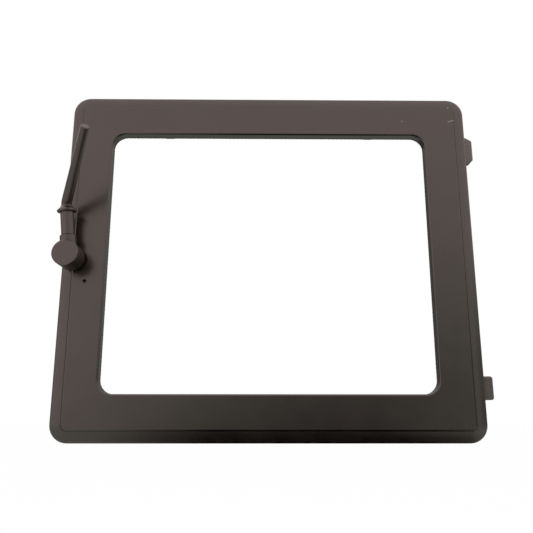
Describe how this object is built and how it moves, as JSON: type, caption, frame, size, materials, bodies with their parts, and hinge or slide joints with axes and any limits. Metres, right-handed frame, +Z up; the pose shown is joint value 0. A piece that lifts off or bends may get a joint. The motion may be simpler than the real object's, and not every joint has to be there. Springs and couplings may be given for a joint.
{
  "type": "cast iron stove door",
  "caption": "Cast iron stove door with a framed window opening, hinge lugs for lift-off pins, a rope seal groove and a turning latch handle.",
  "frame": {"origin": "middle of the lower hinge bore's length, on the hinge axis", "axes": "+Z up along the hinge axis, +X from the latch side to the hinge side, front of the door faces -Y"},
  "size_m": [0.4419, 0.115, 0.3679],
  "materials": {
    "painted_iron": "satin brown-black stove paint over a fine sand-cast skin",
    "handle_iron": "satin brown-black stove paint, smoother than the casting",
    "latch_iron": "dark rubbed iron",
    "dark_steel": "black oxide",
    "bright_steel": "dull heat-tinted steel",
    "clip_steel": "dull heat-tinted steel",
    "rope": "knitted glass fibre rope, grey with soot",
    "tape": "woven glass fibre tape, dark grey"
  },
  "bodies": {
    "door": {"door_casting": "painted_iron", "door_rope_seal": "rope", "glass_seal_tape": "tape", "glass_clip_upper_left": "clip_steel", "glass_clip_upper_right": "clip_steel", "glass_clip_lower_left": "clip_steel", "glass_clip_lower_right": "clip_steel", "glass_clip_screw_upper_left": "clip_steel", "glass_clip_screw_upper_right": "clip_steel", "glass_clip_screw_lower_left": "clip_steel", "glass_clip_screw_lower_right": "clip_steel"},
    "handle": {"handle_hub": "handle_iron", "hub_set_screw": "dark_steel", "hub_washer": "bright_steel", "handle_stub": "handle_iron", "handle_collar": "handle_iron", "handle_rod": "handle_iron", "handle_spindle": "bright_steel", "latch_washer": "bright_steel", "latch_tongue": "latch_iron", "latch_spring_washer": "bright_steel", "latch_nut": "bright_steel"}
  },
  "joints": [
    {"name": "handle_turn", "type": "hinge", "parent": "door", "child": "handle", "pos_m": [-0.4212, -0.017, 0.12975], "axis": [0, 1, 0], "range_deg": [0, 90]}
  ]
}
